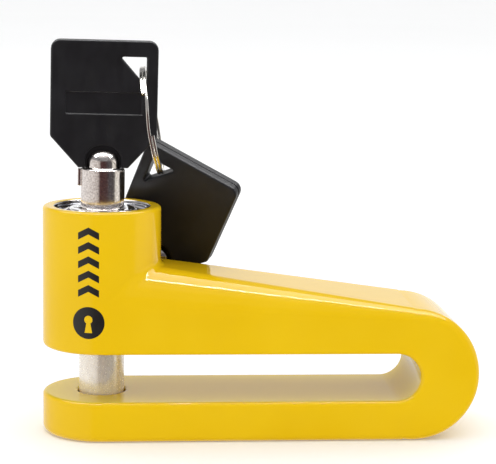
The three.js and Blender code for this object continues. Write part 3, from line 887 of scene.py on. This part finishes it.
BY_SLOT = {
    "body_enamel": ENAMEL,
    "pin_nickel": PIN_NICKEL,
    "key_nickel": KEY_NICKEL,
    "ring_nickel": RING_NICKEL,
    "face_chrome": CHROME,
    "plunger_zinc": ZINC,
    "lock_brass": BRASS,
    "hard_steel": STEEL,
    "spring_steel": SPRING_WIRE,
    "key_plastic": plastic(),
}


# ---- assembly -----------------------------------------------------------------------------


def fit(piece, body, material_slot, *nodes, material=None):
    """Gives a piece its finish, its body and the CAD nodes that it stands for."""
    piece.data.materials.clear()
    piece.data.materials.append(material or BY_SLOT[material_slot])
    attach(piece, body)
    if nodes:
        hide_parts(*nodes)
    return piece


def key_place(tip, turns):
    """The matrix that takes a key from its own frame to its place."""
    place = Matrix.Translation(tip)
    for degrees, axis in zip(turns, "ZXY"):
        place = place @ Matrix.Rotation(math.radians(degrees), 4, axis)
    return place


def guide_dowel():
    """The guide pin, lying along Y in the housing's back wall."""
    length = GUIDE_HIGH[1] - GUIDE_LOW[1]
    profile = [
        (0, 0, 0),
        (GUIDE_RADIUS, 0, 0.3),
        (GUIDE_RADIUS, length, 0.3),
        (0, length, 0),
    ]
    dowel = turned("guide_dowel", profile, 48)
    end = Vector((0, GUIDE_LOW[1], (GUIDE_LOW[2] + GUIDE_HIGH[2]) / 2)) * MM
    dowel.matrix_world = Matrix.Translation(end) @ Matrix.Rotation(-math.pi / 2, 4, "X")
    return dowel


def round_pin():
    """The locking pin, with a chamfered tip."""
    chamfer = 1
    profile = [
        (0, PIN_LOW[2], 0),
        (PIN_RADIUS - chamfer, PIN_LOW[2], 0.4),
        (PIN_RADIUS, PIN_LOW[2] + chamfer, 0.5),
        (PIN_RADIUS, PIN_HIGH[2], 0.4),
        (0, PIN_HIGH[2], 0),
    ]
    return turned("round_pin", profile)


def plated_ring():
    """The bright ring on top of the plunger, round the lock's cover."""
    inner = BEZEL_HIGH[0] + 0.3
    profile = [
        (inner, RING_LOW[2], 0.1),
        (RING_HIGH[0], RING_LOW[2], 0.1),
        (RING_HIGH[0], RING_HIGH[2], 0.35),
        (inner, RING_HIGH[2], 0.15),
    ]
    return turned("plated_ring", profile)


# The CAD nodes that no piece replaces are inside the lock, and only get their finish.
for entry in frame["record"]["subparts"]:
    for material_slot in frame["nodes"][entry["node"]].material_slots:
        material_slot.material = BY_SLOT[entry["material_slot"]]

cast_body = sculpted("cast_body", casting, BODY_LOW, BODY_HIGH, cell=0.4)
fit(cast_body, "lock_body", "body_enamel", "body_casting")
fit(printed_marks(), "lock_body", "body_enamel", material=INK)
fit(guide_dowel(), "lock_body", "hard_steel", "guide_pin")

fit(round_pin(), "plunger", "pin_nickel", "locking_pin")
cast_slug = sculpted("slug", slug, SLUG_LOW, SLUG_HIGH, cell=0.35)
fit(cast_slug, "plunger", "plunger_zinc", "plunger_barrel")
fit(plated_ring(), "plunger", "face_chrome", "face_ring")
keyway_bezel = sculpted("keyway_bezel", bezel, BEZEL_LOW, BEZEL_HIGH, cell=0.12)
fit(keyway_bezel, "plunger", "face_chrome", "lock_bezel")
turning_core = sculpted("turning_core", spindle, SPINDLE_LOW, SPINDLE_HIGH, cell=0.2)
fit(turning_core, "core", "key_nickel", "core_spindle")

BIT_LOW = (-TUBE_RADIUS - TAB_REACH, -TUBE_RADIUS, 0)
BIT_HIGH = (TUBE_RADIUS, TUBE_RADIUS, DOME_TOP)
GRIP_LOW = (-HEAD_HALF, -HEAD_THICK / 2, HEAD_BOTTOM)
GRIP_HIGH = (HEAD_HALF, HEAD_THICK / 2, HEAD_TOP)
for key, (tip, turns) in KEY_PLACES.items():
    place = key_place(tip, turns)
    bit = sculpted(key + "_bit", key_bit, BIT_LOW, BIT_HIGH, 0.16, place)
    fit(bit, key, "key_nickel", key + "_tube")
    grip = sculpted(key + "_grip", key_head, GRIP_LOW, GRIP_HIGH, 0.18, place)
    fit(grip, key, "key_plastic", key + "_head")

ring_joint = next(j for j in frame["joints"] if j["name"] == "key_ring_turn")
fit(split_ring("wire_ring", ring_joint), "key_ring", "ring_nickel", "key_ring")


# ---- stage, light and camera --------------------------------------------------------------


FLOOR_HALF = 9000
LAMP_HEIGHT = 0.55


def floor():
    """Plain pale paper that glows a little, so that it stays white to its edges."""
    square = [(-1, -1), (1, -1), (1, 1), (-1, 1)]
    corners = [(x * FLOOR_HALF, y * FLOOR_HALF, 0) for x, y in square]
    obj = new_piece("floor", corners, [[0, 1, 2, 3]])
    shade = Shader("floor_paper", (0.86, 0.86, 0.86), 0, 0.6, specular=0.2)
    shade.out.inputs["Emission Color"].default_value = (0.94, 0.97, 1.0, 1)
    shade.out.inputs["Emission Strength"].default_value = 0.11
    shade.colour(shade.blended(shade.noise(3, 2), (0.85, 0.85, 0.85), (0.87, 0.87, 0.87)))
    obj.data.materials.append(shade.material)
    obj.visible_glossy = False


def soft_box(name, place, size, radiance, shine):
    """A flat light overhead. With shine it only shows in reflections, and without it only lights
    surfaces; sizes are in metres."""
    light = bpy.data.lights.new(name, "AREA")
    light.shape = "RECTANGLE"
    light.size, light.size_y = size
    light.energy = radiance * math.pi * size[0] * size[1]
    obj = bpy.data.objects.new(name, light)
    obj.location = place
    obj.visible_diffuse = not shine
    obj.visible_glossy = shine
    bpy.context.scene.collection.objects.link(obj)


# Degrees round from the camera's side, positive to the right, and the light that comes from there
SURROUND = [
    (-180, (1.0, 1.0, 1.0)),
    (-100, (1.0, 0.98, 0.96)),
    (-50, (0.86, 0.82, 0.79)),
    (-24, (0.62, 0.57, 0.54)),
    (-16, (0.09, 0.04, 0.04)),
    (20, (0.09, 0.05, 0.05)),
    (34, (0.10, 0.09, 0.10)),
    (62, (0.12, 0.11, 0.11)),
    (72, (1.0, 0.98, 0.90)),
    (98, (1.0, 0.98, 0.92)),
    (110, (0.55, 0.55, 0.55)),
    (135, (1.0, 1.0, 1.0)),
    (180, (1.0, 1.0, 1.0)),
]


def surround(tree, direction):
    """What shiny surfaces see: the walls of SURROUND, a grey sky over them and a white zenith."""
    x, y, z = tree.split(direction)
    azimuth = tree.maths("ARCTAN2", x, tree.maths("MULTIPLY", y, -1))
    walls = tree.nodes.new("ShaderNodeValToRGB")
    ramp = walls.color_ramp
    while len(ramp.elements) < len(SURROUND):
        ramp.elements.new(0.5)
    for element, (degrees, colour) in zip(ramp.elements, SURROUND):
        element.position = (degrees + 180) / 360
        element.color = (*colour, 1)
    tree.feed(tree.ranged(azimuth, -math.pi, math.pi, 0, 1), walls.inputs["Fac"])
    sky = tree.ranged(z, 0.30, 0.42, 0, 1)
    zenith = tree.ranged(z, 0.72, 0.86, 0, 1)
    under_zenith = tree.blended(sky, walls.outputs["Color"], (0.30, 0.30, 0.31))
    return tree.blended(zenith, under_zenith, (0.95, 0.95, 0.95))


def studio():
    """White cove behind, a darker room in front, a soft box overhead with bright tubes at its
    edges. Shiny surfaces see the set, and dull ones are lit evenly."""
    world = bpy.data.worlds.new("studio")
    bpy.context.scene.world = world
    world.use_nodes = True
    tree = Tree(world.node_tree)
    direction = tree.nodes.new("ShaderNodeTexCoord").outputs["Generated"]
    glossy = tree.nodes.new("ShaderNodeLightPath").outputs["Is Glossy Ray"]
    seen = tree.blended(glossy, (1.03, 1.03, 1.03), surround(tree, direction))
    tree.feed(seen, tree.nodes["Background"].inputs["Color"])
    soft_box("overhead_box", (0.03, 0.07, LAMP_HEIGHT), (1.1, 0.31), radiance=5, shine=True)
    soft_box("front_tube", (0.03, -0.095, LAMP_HEIGHT), (1.1, 0.03), radiance=60, shine=True)
    soft_box("back_tube", (0.03, 0.235, LAMP_HEIGHT), (1.1, 0.02), radiance=12, shine=True)
    soft_box("wide_fill", (0.0, 0.1, 1.2), (2.4, 1.6), radiance=0.5, shine=False)


def camera():
    """Looks slightly down at the lock's front from a little to its left."""
    place = Vector((0.00035, -0.3679, 0.1027))
    yaw, pitch, roll = (math.radians(a) for a in (4.95, 8.97, 0.90))
    data = bpy.data.cameras.new("camera")
    data.sensor_width = 36
    data.lens = 122.49
    data.clip_start = 0.02
    data.clip_end = 50
    obj = bpy.data.objects.new("camera", data)
    bpy.context.scene.collection.objects.link(obj)
    aim = Matrix.Rotation(-yaw, 4, "Z")
    aim = aim @ Matrix.Rotation(math.pi / 2 - pitch, 4, "X")
    aim = aim @ Matrix.Rotation(roll, 4, "Z")
    obj.matrix_world = Matrix.Translation(place) @ aim
    bpy.context.scene.camera = obj


floor()
studio()
camera()
bpy.context.scene.view_settings.view_transform = "Standard"
